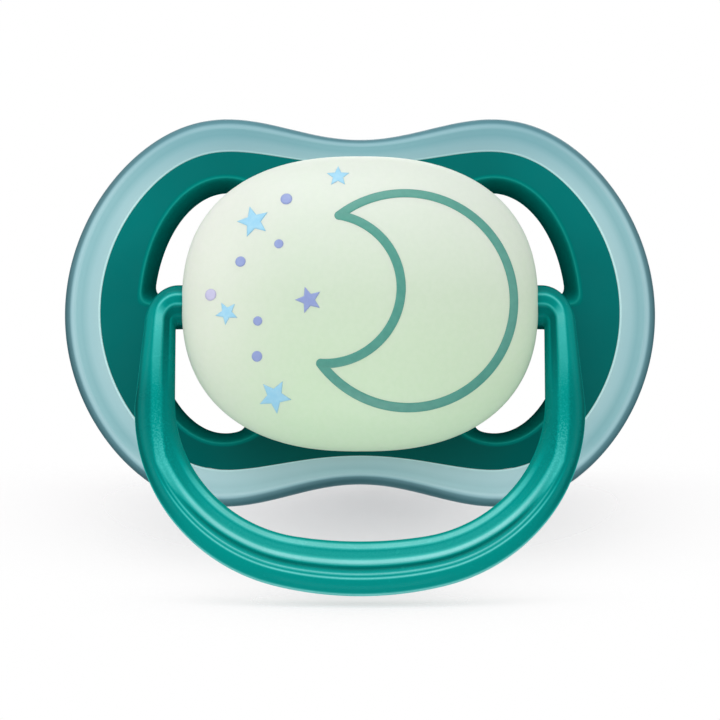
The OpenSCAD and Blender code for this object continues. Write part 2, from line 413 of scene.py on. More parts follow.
def ring_material():
    """Clear teal plastic, lit through, coloured by painted highlights and painted shade in bands along it."""
    s = Shader("clear_ring")
    # fine random speckle all over, strongest where painted glints gather on the bow's lower corners
    speckle_and_glint = s.math("MULTIPLY", s.ramp(s.noise(0.16, 3), 0.4, 0.66, -0.06, 0.12), s.attribute("speckle_and_glint"))
    # painted highlights and painted shade: the tone bands along the ring pick its colours
    tones = s.color_ramp(s.math("ADD", s.attribute("tone"), speckle_and_glint), [
        (0.00, srgb(0, 80, 76)), (0.25, srgb(0, 116, 110)), (0.50, srgb(4, 150, 143)),
        (0.75, srgb(66, 190, 184)), (1.00, srgb(150, 228, 226))])
    s.set(Base_Color=s.mix(s.ramp(s.noise(7), 0.35, 0.65, 0, 0.2), tones, srgb(0, 150, 140)))
    s.set(Roughness=s.ramp(s.noise(1.5), 0.3, 0.7, 0.2, 0.28))
    s.set(Transmission_Weight=0.05, IOR=1.49, Specular_IOR_Level=s.ramp(s.facing(0.5), 0.3, 0.7, 0.06, 0))
    s.set(Specular_Tint=(0.3, 1, 0.95, 1))
    s.set(Normal=s.bump(s.noise(0.25), 0.05, 0.03))
    return s.material


def teat_material():
    """Silicone: frosted on the bulb and glass-clear on the neck."""
    s = Shader("silicone_teat")
    frosted = s.attribute("frost")
    s.set(Base_Color=s.mix(frosted, srgb(252, 254, 254), srgb(248, 248, 247)))
    # a faint painted glow on the frosted bulb
    s.set(Emission_Color=(1, 1, 1, 1), Emission_Strength=s.ramp(frosted, 0, 1, 0, 0.10))
    s.set(Roughness=s.ramp(frosted, 0, 1, 0.03, 0.42))
    s.set(Transmission_Weight=s.ramp(frosted, 0, 1, 1.0, 0.35))
    s.set(IOR=s.ramp(frosted, 0, 1, 1.2, 1.41))
    s.set(Normal=s.bump(s.noise(0.2), s.ramp(frosted, 0, 1, 0, 0.02), 0.02))
    return s.material


def housing_material():
    """The same pale plastic as the cover, unpolished."""
    s = Shader("pale_housing")
    s.set(Base_Color=s.mix(s.ramp(s.noise(3), 0.35, 0.65), srgb(214, 228, 205), srgb(204, 221, 196)))
    s.set(Roughness=s.ramp(s.noise(1), 0.3, 0.7, 0.45, 0.6))
    s.set(Normal=s.bump(s.noise(0.3), 0.06, 0.05))
    return s.material


def plug_material():
    """Teal moulded plastic of the plug."""
    s = Shader("teal_plug")
    s.set(Base_Color=s.mix(s.ramp(s.noise(2), 0.35, 0.65), srgb(12, 128, 118), srgb(18, 138, 126)))
    s.set(Roughness=s.ramp(s.noise(1), 0.3, 0.7, 0.25, 0.35))
    s.set(Normal=s.bump(s.noise(0.3), 0.05, 0.04))
    return s.material


def ink_material(name, colour, darker):
    """Printed ink with a slightly uneven film."""
    s = Shader(name)
    s.set(Base_Color=s.mix(s.ramp(s.noise(0.6, 4), 0.3, 0.7), colour, darker))
    s.set(Roughness=s.ramp(s.noise(0.5), 0.3, 0.7, 0.4, 0.5))
    s.set(Normal=s.bump(s.noise(0.15), 0.1, 0.01))
    return s.material


# ---------- rim ----------

def rim_section(points=56):
    """Cross-section of the rim as distances outwards and along Y, with rounded inner corners."""
    corner = 0.12
    t = np.linspace(-math.pi / 2, math.pi / 2, points)
    u = RIM_W * power(np.cos(t), 0.78)
    y = RIM_MID + RIM_T / 2 * power(np.sin(t), 0.78)
    # a faint crease where the front face turns into the rounded edge
    y = y - 0.08 * bell(u, 0.66 * RIM_W, 0.16) * (t < 0)
    keep = u > corner
    t_corner = np.linspace(0, math.pi / 2, 6)
    front = np.stack([corner * (1 - np.cos(t_corner)), RIM_MID - RIM_T / 2 + corner * (1 - np.sin(t_corner))], -1)
    back = np.stack([front[::-1, 0], 2 * RIM_MID - front[::-1, 1]], -1)
    return np.concatenate([front, np.stack([u[keep], y[keep]], -1), back])


def build_rim():
    section = rim_section()
    rings, across = [], []
    for a in full_turn(420):
        wide = rim_width(a)
        # the painted bands are drawn a little nearer the plate all round, and nearer still along the lower waist
        across.append(section[:, 0] / RIM_W * (1 + 0.14 * bell(math.cos(a), 0, 0.34) * (math.sin(a) < 0) + 0.04))
        q = inset(a, wide) + section[:, :1] * wide / RIM_W * outward(a)
        rings.append(np.stack([q[:, 0], section[:, 1] + bend(q[:, 0]), q[:, 1]], -1))
    points = np.concatenate(rings)
    piece = add_mesh("soft_rim", points, sweep_faces(len(rings), len(section), True),
                     "body", rim_material())
    add_attribute(piece, "across", np.clip(np.concatenate(across), 0, 1))
    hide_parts("shield_rim")
    orient(piece)
    return piece


# ---------- plate ----------

def soft_min(a, b, k):
    """The smaller of two distances, with a blend k wide where they meet."""
    h = np.clip(0.5 + 0.5 * (b - a) / k, 0, 1)
    return b * (1 - h) + a * h - k * h * (1 - h)


def hole_depth(x, z, side_x, side_z):
    """How far a point lies inside one air hole; negative outside it."""
    px, pz = (x * side_x - HOLE_X) / HOLE_HALF_W, z / HOLE_HALF_H
    k0 = np.sqrt(px ** 2 + pz ** 2) + 1e-9
    k1 = np.sqrt((px / HOLE_HALF_W) ** 2 + (pz / HOLE_HALF_H) ** 2) + 1e-9
    oval = k0 * (1 - k0) / k1
    hub = np.hypot(x, z) - HUB_R
    bridge = z * side_z - BRIDGE_HALF_W
    return soft_min(soft_min(oval, hub, HOLE_ROUND), bridge, HOLE_ROUND)


def hole_loop(distance, side_x, side_z, n=150):
    """A loop round one air hole, the given distance outside its edge."""
    cx, cz = 17.3 * side_x, 6.6 * side_z
    a = full_turn(n)
    near, far = np.zeros(n), np.full(n, 14.0)
    for _ in range(40):
        r = (near + far) / 2
        inside = hole_depth(cx + r * np.cos(a), cz + r * np.sin(a), side_x, side_z) > -distance
        near, far = np.where(inside, r, near), np.where(inside, far, r)
    return np.stack([cx + near * np.cos(a), cz + near * np.sin(a)], -1)


def hole_distance(x, z):
    """Distance of a point outside the nearest air hole's edge."""
    depths = [hole_depth(x, z, sx, sz) for sx in (-1, 1) for sz in (-1, 1)]
    return np.maximum(-np.max(depths, axis=0), 0)


def rim_distance(x, z):
    """Distance inwards from the plate's outer edge."""
    a = full_turn(720)
    line = inset(a, rim_width(a))
    out = np.empty(len(x))
    for i in range(0, len(x), 500):
        d = np.hypot(x[i:i + 500, None] - line[:, 0], z[i:i + 500, None] - line[:, 1])
        out[i:i + 500] = d.min(1)
    return out


def plate_front(x, z, hole_d):
    """Y of the plate's front face."""
    under_cover = (np.abs(x) / 15.2) ** COVER_N + (np.abs(z) / 12.2) ** COVER_N
    level = -PLATE_T + (LIP_Y + PLATE_T) * smooth(under_cover, 0.86, 1.05)
    # bead, then a steep wall down to each hole's edge
    y = level - 0.10 * bell(hole_d, 1.04, 0.14) * (level < -PLATE_T - 0.3)
    wall = smooth(hole_d, 0.92, 0.08)
    y = y + (-0.75 - level) * wall
    return y + bend(x)


def plate_back(x, z, hole_d, rim_d):
    """Y of the plate's mouth side: a shallow dish with rounded edges."""
    lobe_r = np.hypot(x, z) / (np.hypot(x, z) + rim_d)
    y = BAND_LIFT * smooth(lobe_r, 0.42, 0.76)
    y = y - 0.85 * (1 - np.sqrt(1 - np.clip(1 - hole_d / 0.85, 0, 1) ** 2))
    y = y - 0.22 * (1 - np.sqrt(1 - np.clip(1 - rim_d / 0.22, 0, 1) ** 2))
    neck_d = np.hypot(x, z) - NECK_HOLE_R
    y = y - 0.3 * (1 - np.sqrt(1 - np.clip(1 - neck_d / 0.3, 0, 1) ** 2))
    return y + bend(x)


def plate_plan():
    """The plate seen from the front: points, faces, and the loops that bound it."""
    points, faces, bounds_, inner_loops = [], [], [], []

    def add_loops(loops):
        numbers = []
        for loop in loops:
            start = sum(len(p) for p in points)
            points.append(loop)
            numbers.append(list(range(start, start + len(loop))))
        for first, second in zip(numbers, numbers[1:]):
            faces.extend(strip_faces(first, second))
        bounds_.append(numbers[0])
        inner_loops.append(numbers[-1])

    hole_steps = (0, 0.05, 0.12, 0.22, 0.34, 0.5, 0.66, 0.8, 0.9, 0.98, 1.04, 1.1, 1.16, 1.22, 1.28, 1.36, HOLE_SKIRT)
    for sx in (-1, 1):
        for sz in (-1, 1):
            add_loops([hole_loop(d, sx, sz) for d in hole_steps])
    a = full_turn(96)
    ring = np.stack([np.cos(a), np.sin(a)], -1)
    add_loops([ring * (NECK_HOLE_R + d) for d in (0, 0.03, 0.08, 0.15, 0.3, 0.6)])
    a = full_turn(420)
    add_loops([inset(a, rim_width(a) + d) for d in (0.02, 0.04, 0.08, 0.14, 0.24, 0.45, 0.8)])

    step = 0.75
    gx, gz = np.meshgrid(np.arange(-26, 26, step), np.arange(-18, 18, step * 0.866))
    gx = gx + (np.arange(len(gz)) % 2)[:, None] * step / 2
    gx, gz = gx.ravel(), gz.ravel()
    r_line = np.hypot(gx, gz)
    theta = np.arctan2(gz, gx)
    fine = full_turn(2880)
    line = inset(fine, rim_width(fine) + 0.8)
    order = np.argsort(np.arctan2(line[:, 1], line[:, 0]))
    reach = np.interp(theta, np.arctan2(line[:, 1], line[:, 0])[order], np.hypot(line[:, 0], line[:, 1])[order])
    ok = (hole_distance(gx, gz) > HOLE_SKIRT + 0.35) & (r_line < reach - 0.35) & (r_line > NECK_HOLE_R + 0.95)
    grid = np.stack([gx[ok], gz[ok]], -1)
    start = sum(len(p) for p in points)
    points.append(grid)
    flat = np.concatenate(points)

    numbers = [i for loop in inner_loops for i in loop] + list(range(start, len(flat)))
    place = {number: i for i, number in enumerate(numbers)}
    edges = [(place[loop[i]], place[loop[(i + 1) % len(loop)]]) for loop in inner_loops for i in range(len(loop))]
    made = delaunay_2d_cdt([Vector(flat[i]) for i in numbers], edges, [], 0, 1e-6)
    co, tris, sources = made[0], made[2], made[3]
    back_to = [numbers[s[0]] for s in sources]
    centres = np.array([np.mean([co[i] for i in t], axis=0) for t in tris])
    r_c = np.hypot(centres[:, 0], centres[:, 1])
    reach_c = np.interp(np.arctan2(centres[:, 1], centres[:, 0]),
                        np.arctan2(line[:, 1], line[:, 0])[order], np.hypot(line[:, 0], line[:, 1])[order])
    inside = (hole_distance(centres[:, 0], centres[:, 1]) > HOLE_SKIRT) & (r_c < reach_c) & (r_c > NECK_HOLE_R + 0.6)
    faces.extend(tuple(back_to[i] for i in t) for t, ok in zip(tris, inside) if ok)
    return flat, faces, bounds_


def build_plate():
    flat, faces, loops = plate_plan()
    x, z = flat[:, 0], flat[:, 1]
    hole_d, rim_d = hole_distance(x, z), rim_distance(x, z)
    for loop in loops[:4]:
        hole_d[loop] = 0
    n = len(flat)
    # the walls of the lower holes are narrow at their outer ends
    narrow = 1 - 0.62 * smooth(-z, -0.6, 0.8) * smooth(np.abs(x), 18.0, 20.0)
    skirt_d = hole_d / narrow
    front = np.stack([x, plate_front(x, z, skirt_d), z], -1)
    back = np.stack([x, plate_back(x, z, hole_d, rim_d), z], -1)
    points = [front, back]
    all_faces = [tuple(f) for f in faces] + [tuple(n + i for i in f[::-1]) for f in faces]
    count = 2 * n
    for loop in loops:
        previous = list(loop)
        for share in (1 / 3, 2 / 3):
            level = front[loop] * (1 - share) + back[loop] * share
            points.append(level)
            numbers = list(range(count, count + len(loop)))
            count += len(loop)
            all_faces += strip_faces(previous, numbers)
            previous = numbers
        all_faces += strip_faces(previous, [n + i for i in loop])
    piece = add_mesh("teal_plate", np.concatenate(points), all_faces, "body", plate_material())
    # on the front, how far each point lies out from its hole's edge, for the painted shade and painted bead
    # highlight; the mouth side gets 1, clear of them, and the edge walls get 0, the darkest painted shade
    hole_edge = np.zeros(count)
    hole_edge[:2 * n] = np.tile(np.clip(skirt_d / HOLE_SKIRT, 0, 1), 2)
    hole_edge[n:2 * n] = 1
    add_attribute(piece, "hole_edge", hole_edge)
    orient(piece)
    piece.data.set_sharp_from_angle(angle=math.radians(50))
    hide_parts("shield_plate")
    return piece


# ---------- cover ----------

def dome_level(x, z, a, b):
    """Squared distance from the crown: 0 in the middle and 1 on the cover's outline."""
    px, pz = np.abs(x) / a, np.abs(z) / b
    round_one = px ** 2 + pz ** 2
    squared = (px ** COVER_N + pz ** COVER_N + 1e-12) ** (2 / COVER_N)
    return round_one + (squared - round_one) * smooth(squared, 0, 1)


def cover_y(x, z):
    """Y of the cover's printed face."""
    level = np.clip(dome_level(x, z, COVER_A, COVER_B), 0, 1)
    return -WIDEST_Y - DOME_H * np.sqrt(1 - level)


def oval_points(angles, a, b, level):
    """Points of the dome in the given directions at one level."""
    near, far = np.zeros(len(angles)), np.full(len(angles), 1.5)
    c, s = np.cos(angles) * a, np.sin(angles) * b
    for _ in range(40):
        r = (near + far) / 2
        inside = dome_level(c * r, s * r, a, b) < level
        near, far = np.where(inside, r, near), np.where(inside, far, r)
    return np.stack([c * near, s * near], -1)


def cover_rings(wall, back_y):
    """Rings of the cover's skin from its back edge to its crown, moved inwards by wall."""
    angles = full_turn(300)
    a, b, h = COVER_A - wall, COVER_B - wall, DOME_H - wall
    outline = oval_points(angles, a, b, 1.0)
    rings = []
    for f in np.linspace(1, 0, 14)[:-1]:
        q = outline * (1 - (1 - BACK_TAPER) * f ** 2)
        rings.append((q, -WIDEST_Y + (back_y + WIDEST_Y) * f))
    for t in np.radians(np.linspace(0, 89, 44)):
        q = oval_points(angles, a, b, math.cos(t) ** 2)
        rings.append((q, -WIDEST_Y - h * math.sin(t)))
    return [np.stack([q[:, 0], np.full(len(q), y), q[:, 1]], -1) for q, y in rings]


def build_cover():
    outer = cover_rings(0, -COVER_BACK - 0.25)
    inner = cover_rings(COVER_WALL, -COVER_BACK - 0.25)
    # rounded back edge between the two skins
    lip = []
    for t in np.linspace(0, math.pi, 7)[1:-1]:
        share = (1 - math.cos(t)) / 2
        ring = inner[0] * (1 - share) + outer[0] * share
        ring[:, 1] = -COVER_BACK - 0.25 + 0.25 * math.sin(t)
        lip.append(ring)
    rings = inner[::-1] + lip + outer
    points = np.concatenate(rings)
    n = len(outer[0])
    piece = add_mesh("printed_cover", points, sweep_faces(len(rings), n, False, True),
                     "body", cover_material())
    orient(piece)
    cut_sockets(piece)
    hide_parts("button_cover")
    return piece


def cut_sockets(piece):
    """Cuts the two round sockets, with softened edges, that the ring's pins enter."""
    soft = 0.35
    wall_x = COVER_A - 0.28
    profile = [(0, SOCKET_R), (wall_x - soft, SOCKET_R)]
    profile += [(wall_x - soft + soft * math.sin(t), SOCKET_R + soft * (1 - math.cos(t)))
                for t in np.linspace(0.25, math.pi / 2, 6)]
    profile += [(wall_x + 3, SOCKET_R + soft)]
    both = [(-x, r) for x, r in reversed(profile[1:])] + profile[1:]
    angles = full_turn(72)
    rings = [np.stack([np.full(72, x), pivot[1] + r * np.cos(angles), r * np.sin(angles)], -1) for x, r in both]
    cutter = add_mesh("socket_cutter", np.concatenate(rings), sweep_faces(len(rings), 72, False, True),
                      "body", piece.data.materials[0])
    orient(cutter)
    cut = piece.modifiers.new("sockets", "BOOLEAN")
    cut.operation, cut.solver, cut.object = "DIFFERENCE", "EXACT", cutter
    bpy.context.view_layer.update()
    graph = bpy.context.evaluated_depsgraph_get()
    result = bpy.data.meshes.new_from_object(piece.evaluated_get(graph))
    piece.modifiers.clear()
    piece.data = result
    bpy.data.objects.remove(cutter)
    result.polygons.foreach_set("use_smooth", [True] * len(result.polygons))
    result.set_sharp_from_angle(angle=math.radians(40))


# ---------- ring ----------

def arch(psi, half_w, corner_r, bottom_r, drop):
    """A point of the ring's outline whose normal points psi below +X, in X and Z."""
    cx = half_w - corner_r
    zb = bottom_r - drop
    zc = zb - math.sqrt((bottom_r - corner_r) ** 2 - cx ** 2)
    split = math.atan2(zb - zc, cx)
    d = np.array([math.cos(psi), -math.sin(psi)])
    if psi < split:
        return np.array([cx, zc]) + corner_r * d
    if psi > math.pi - split:
        return np.array([-cx, zc]) + corner_r * d
    return np.array([0, zb]) + bottom_r * d


def ring_stations():
    """Inner point, outer point, half thickness and grip share, from one pin to the other.

    The grip share is below 0 in the elbow, 0 where the leg begins and 1 at the bottom of the bow.
    """
    outer = [RING_HALF_L - 0.2, 17.4, 31.7, RING_DROP + 0.25]
    inner = [RING_HALF_L - ROD_D - 0.18, 13.5, 37.2, RING_DROP - GRIP_W + 0.1]
    elbow = np.array([RING_HALF_L - ROD_D / 2 - ELBOW_R, -ELBOW_R])
    half = ROD_D / 2
    side = []
    for x in np.linspace(PIN_END, elbow[0], 12)[:-1]:
        side.append((np.array([x, -half]), np.array([x, half]), half, -0.15))
    for t in np.radians(np.linspace(90, 0, 22)):
        d = np.array([math.cos(t), math.sin(t)])
        outside = np.array([ELBOW_W * d[0], (ELBOW_R + half) * d[1]])
        side.append((elbow + (ELBOW_R - half) * d, elbow + outside, half, -0.15 * smooth(t, 0.2, 1.0)))
    top_in, top_out = side[-1][:2]
    end_in, end_out = arch(0, *inner), arch(0, *outer)
    for f in np.linspace(0, 1, 26)[1:-1]:
        side.append((top_in + (end_in - top_in) * f, top_out + (end_out - top_out) * f,
                     half + (GRIP_T / 2 - half) * smooth(f, 0, 1), float(0.3 * f)))
    bow = []
    for psi in np.linspace(0, 180, 221):
        grip = 0.3 + 0.7 * smooth(90 - abs(psi - 90), 0, 62)
        psi = math.radians(psi)
        bow.append((arch(psi, *inner), arch(psi, *outer), GRIP_T / 2, float(grip)))
    mirror = np.array([-1, 1])
    other = [(p * mirror, q * mirror, h, g) for p, q, h, g in reversed(side)]
    return side + bow + other


def band(w, middle, half, soft=0.05):
    """1 within half of the middle, with soft ends."""
    return smooth(half - np.abs(w - middle), -soft, soft)


def between(grip, leg, bow):
    """A value that runs from the leg's to the bow's."""
    return leg + (bow - leg) * grip


def ring_relief(w, grip):
    """Depth of the ring's recesses: w runs from -1 on its inner edge to 1 on its outer edge."""
    fade = 1 - bell(grip, 0.42, 0.16)
    w = w + 0.05 * smooth(grip, 0.3, 0.9)
    depth = between(grip, 0.18, 0.20) * fade * band(w, between(grip, -0.55, -0.33), between(grip, 0.20, 0.17), 0.10)
    started = smooth(grip, 0.3, 0.9)
    depth += 0.22 * started * band(w, between(grip, 0.2, 0.16), 0.10, 0.08)
    return depth + 0.08 * started * band(w, between(grip, 0.5, 0.465), 0.085, 0.04)


def ring_tone(w, grip):
    """Painted highlights and painted shade: light and dark bands along the ring, where its recesses and the light
    bent through it would draw them.
    """
    def along(*values):
        """A value given in the elbow, at the leg's top, middle and foot, at the corner and on the bow."""
        return np.interp(grip, (-0.15, 0, 0.15, 0.3, 0.5, 1), values)

    edge = w
    w = w + 0.05 * smooth(grip, 0.3, 0.9)
    # a painted highlight down the middle of the ring
    tone = along(0.30, 0.44, 0.38, 0.22, 0.32, 0.46) + along(0.10, 0.34, 0.28, 0.24, 0.38, 0.5) * band(
        w, along(0, -0.05, -0.05, -0.16, 0.14, -0.04), along(0.4, 0.27, 0.27, 0.27, 0.25, 0.11), 0.09)
    # painted shade in the groove beside it on the legs
    tone = tone - along(0.1, 0.34, 0.26, 0, 0, 0) * band(w, -0.55, 0.16, 0.05)
    # two thin painted highlights round the elbow
    elbow = along(1, 0, 0, 0, 0, 0)
    tone = tone + elbow * (0.42 * bell(w, 0.22, 0.08) + 0.34 * bell(w, -0.28, 0.06))
    # on the bow: painted light and half-light bands, and painted shade in the groove
    bow = smooth(grip, 0.4, 0.9)
    tone = tone + bow * (0.38 * band(w, -0.66, 0.12, 0.06) + 0.08 * band(w, -0.33, 0.16, 0.06)
                         - 0.30 * band(w, 0.16, 0.08, 0.06))
    # two thin painted highlights on the bow
    for line in (0.39, 0.54):
        tone = tone + 0.45 * bow * bell(w, line, 0.04)
    # a painted dark line near the legs' outer edge
    tone = tone - (1 - bow) * 0.22 * bell(edge, 0.86, 0.1)
    # thin painted highlights along both edges
    return tone + 0.45 * bell(edge, 0.99, 0.03) + 0.1 * bell(edge, -1, 0.04)


def build_ring():
    n = 168
    t = full_turn(n)
    across, thick = power(np.cos(t), 0.9), power(np.sin(t), 0.9)
    rings, tones, speckle_and_glint = [], [], []
    for p_in, p_out, half_t, grip in ring_stations():
        centre, reach = (p_in + p_out) / 2, (p_out - p_in) / 2
        relief = ring_relief(across, grip) * smooth(np.abs(thick), 0.25, 0.6)
        y = -thick * (half_t - relief)
        q = centre + across[:, None] * reach
        rings.append(np.stack([q[:, 0], y, q[:, 1]], -1))
        # painted highlights and painted shade for each point, and where the painted glints gather
        tones.append(ring_tone(across, grip))
        speckle_and_glint.append(0.7 * bell(grip, 0.4, 0.16) * band(across, -0.1, 0.4, 0.2) + 0.12)
    points = np.concatenate(rings)
    angle = math.radians(-RING_ANGLE)
    y = points[:, 1] * math.cos(angle) - points[:, 2] * math.sin(angle)
    z = points[:, 1] * math.sin(angle) + points[:, 2] * math.cos(angle)
    points = np.stack([points[:, 0], y, z], -1) + np.array([0, pivot[1], pivot[2]])
    piece = add_mesh("ring_handle", points, sweep_faces(len(rings), n, False, True),
                     "ring", ring_material())
    add_attribute(piece, "tone", np.concatenate(tones))
    add_attribute(piece, "speckle_and_glint", np.concatenate(speckle_and_glint))
    orient(piece)
    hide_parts("handle_ring")
    return piece


# ---------- teat ----------

def swell(y, y0, y1, a, b):
    return a + (b - a) * smooth(y, y0, y1)


def skin_r(y):
    if y < BULB_Y:
        return swell(y, NECK_TOP, BULB_Y, NECK_R, BULB_R)
    return BULB_R * math.sqrt(max(0, 1 - ((y - BULB_Y) / (TEAT_L - BULB_Y)) ** 2))


def hollow_r(y):
    if y < BULB_Y:
        return swell(y, THROAT_Y, BULB_Y, THROAT_R, BULB_R - TEAT_WALL)
    top = TEAT_L - TEAT_WALL - BULB_Y
    return (BULB_R - TEAT_WALL) * math.sqrt(max(0, 1 - ((y - BULB_Y) / top) ** 2))


def teat_profile():
    """Radius and Y round the teat's wall, from the flange up the skin and down the hollow."""
    flange_r = 7.0
    skin_start = -PLATE_T - 0.05
    profile = [(CAVITY_R, FLANGE_Y), (flange_r - 0.3, FLANGE_Y), (flange_r, FLANGE_Y + 0.3),
               (flange_r, skin_start - 0.2), (flange_r - 0.2, skin_start), (NECK_R + 0.3, skin_start),
               (NECK_R, skin_start + 0.3)]
    straight = np.linspace(skin_start + 0.6, BULB_Y, 130)
    profile += [(skin_r(y), y) for y in straight]
    profile += [(skin_r(y), y) for y in BULB_Y + (TEAT_L - BULB_Y) * np.sin(np.linspace(0, math.pi / 2, 40)[1:-1])]
    profile += [(0.0, TEAT_L)]
    top = TEAT_L - TEAT_WALL
    profile += [(0.0, top)]
    profile += [(hollow_r(y), y) for y in BULB_Y + (top - BULB_Y) * np.sin(np.linspace(math.pi / 2, 0, 30)[1:])]
    profile += [(hollow_r(y), y) for y in np.linspace(BULB_Y, THROAT_Y, 60)[1:]]
    profile += [(swell(y, PLUG_TIP_Y, THROAT_Y, CAVITY_R, THROAT_R), y)
                for y in np.linspace(THROAT_Y, PLUG_TIP_Y, 24)[1:]]
    return profile


def frost_mask(points):
    """1 where the skin is frosted: above a scalloped line, with an arched clear window to each side."""
    x, y, z = points.T
    side = np.abs(np.arctan2(np.abs(z), np.abs(x)))
    line = 9.1 + 1.0 * np.sin(side * 2) ** 2
    frosted = smooth(y, line - 0.15, line + 0.15)
    half = 2.43 - 0.68 * (1 - smooth(y, 7.3, 9.0))
    top = 12.0 - 2.43
    arch_d = np.where(y > top, np.hypot(z, y - top) - 2.43, np.abs(z) - half)
    window = 1 - smooth(arch_d, -0.12, 0.12)
    return frosted * (1 - window)


def build_teat():
    n = 200
    angles = full_turn(n)
    points, rings = [], []
    for r, y in teat_profile():
        if r == 0.0:
            rings.append([len(points)] * n)
            points.append((0, y, 0))
            continue
        rings.append(list(range(len(points), len(points) + n)))
        points += [(r * math.cos(a), y, r * math.sin(a)) for a in angles]
    faces = []
    for first, second in zip(rings, rings[1:] + rings[:1]):
        for i in range(n):
            quad = (first[i], first[(i + 1) % n], second[(i + 1) % n], second[i])
            corners = list(dict.fromkeys(quad))
            if len(corners) > 2:
                faces.append(corners)
    piece = add_mesh("silicone_teat", points, faces, "body", teat_material())
    orient(piece)
    piece.data.set_sharp_from_angle(angle=math.radians(60))
    points = np.array(points, float)
    on_skin = np.hypot(points[:, 0], points[:, 2]) > np.array([hollow_r(min(y, TEAT_L - TEAT_WALL - 0.01)) + 0.3
                                                              for y in points[:, 1]])
    add_attribute(piece, "frost", frost_mask(points) * (on_skin | (points[:, 1] > BULB_Y)))
    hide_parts("teat")
    return piece


# ---------- print ----------

INK_RISE = 0.035            # how far the ink stands out from the cover
INK_ROOT = 0.03             # how far its edge reaches into it


def on_cover(x, z, rise):
    """Points of the printed face, moved out by rise."""
    return np.stack([x, cover_y(x, z) - rise, z], -1)


def ink_badge(outline, rings=8):
    """A closed low pad of ink over a star-shaped outline; outline holds offsets from its first row's centre."""
    centre, rim = outline[0], outline[1:]
    n = len(rim)
    shares = np.linspace(0, 1, rings + 1)[1:]
    points, faces, levels = [], [], []
    for rise in (INK_RISE, -INK_ROOT):
        middle = len(points)
        points.append(on_cover(centre[:1], centre[1:], rise)[0])
        level = []
        for share in shares:
            q = centre + (rim - centre) * share
            soft = rise if share < 1 or rise < 0 else rise * 0.5
            level.append(list(range(len(points), len(points) + n)))
            points.extend(on_cover(q[:, 0], q[:, 1], soft))
        faces += [(middle, level[0][i], level[0][(i + 1) % n]) for i in range(n)]
        for first, second in zip(level, level[1:]):
            faces += strip_faces(first, second)
        levels.append(level[-1])
    faces += strip_faces(levels[0], levels[1])
    return points, faces


def join_parts(parts):
    """Joins (points, faces) pairs into one."""
    points, faces = [], []
    for p, f in parts:
        start = len(points)
        points += list(p)
        faces += [tuple(start + i for i in face) for face in f]
    return points, faces


def dot(x, z, r):
    a = full_turn(28)
    return ink_badge(np.concatenate([[(x, z)], np.stack([x + r * np.cos(a), z + r * np.sin(a)], -1)]), 4)


def star(x, z, r, turn=0.0):
    """A plain five-pointed star."""
    per_edge = 6
    tips = [(r if i % 2 == 0 else 0.45 * r, math.pi / 2 + turn + i * math.pi / 5) for i in range(10)]
    corners = np.array([(x + q * math.cos(a), z + q * math.sin(a)) for q, a in tips])
    line = [corners[i] * (1 - k / per_edge) + corners[(i + 1) % 10] * (k / per_edge)
            for i in range(10) for k in range(per_edge)]
    return ink_badge(np.concatenate([[(x, z)], line]), 5)


CRESCENT = (np.array([4.3, -0.2]), 9.8)     # centre and radius of the crescent's outer circle
BITE = (np.array([-3.1, 0.7]), 6.8)         # and of the circle that hollows it


def crescent_line():
    """Centre lines of a plain crescent: an outer circle cut by a second one."""
    (outer_c, outer_r), (inner_c, inner_r) = CRESCENT, BITE
    d = np.linalg.norm(inner_c - outer_c)
    towards = math.atan2(*(inner_c - outer_c)[::-1])
    half_outer = math.acos((d * d + outer_r ** 2 - inner_r ** 2) / (2 * d * outer_r))
    half_inner = math.acos((d * d + inner_r ** 2 - outer_r ** 2) / (2 * d * inner_r))
    a = np.linspace(towards + half_outer, towards + 2 * math.pi - half_outer, 190)
    b = np.linspace(towards + math.pi + half_inner, towards + math.pi - half_inner, 120)
    outer = outer_c + outer_r * np.stack([np.cos(a), np.sin(a)], -1)
    inner = inner_c + inner_r * np.stack([np.cos(b), np.sin(b)], -1)
    return outer, inner


def clear_of_crescent(place, room):
    """Whether a place lies outside the crescent, with some room."""
    outside = np.linalg.norm(place - CRESCENT[0]) > CRESCENT[1] + room
    in_bite = np.linalg.norm(place - BITE[0]) < BITE[1] - room
    return outside or in_bite


def ink_ribbon(line, width, closed):
    """A closed flat band of ink along a line."""
    ahead = np.roll(line, -1, 0) - np.roll(line, 1, 0)
    if not closed:
        ahead[0], ahead[-1] = line[1] - line[0], line[-1] - line[-2]
    normal = np.stack([-ahead[:, 1], ahead[:, 0]], -1)
    normal /= np.linalg.norm(normal, axis=1, keepdims=True)
    section = [(-1, -INK_ROOT), (-0.97, INK_RISE * 0.5), (-0.85, INK_RISE), (-0.4, INK_RISE), (0, INK_RISE),
               (0.4, INK_RISE), (0.85, INK_RISE), (0.97, INK_RISE * 0.5), (1, -INK_ROOT), (0, -INK_ROOT)]
    levels = [on_cover(*(line + normal * width / 2 * u).T, rise) for u, rise in section]
    points = np.stack(levels, 1).reshape(-1, 3)
    return points, sweep_faces(len(line), len(section), closed, not closed)


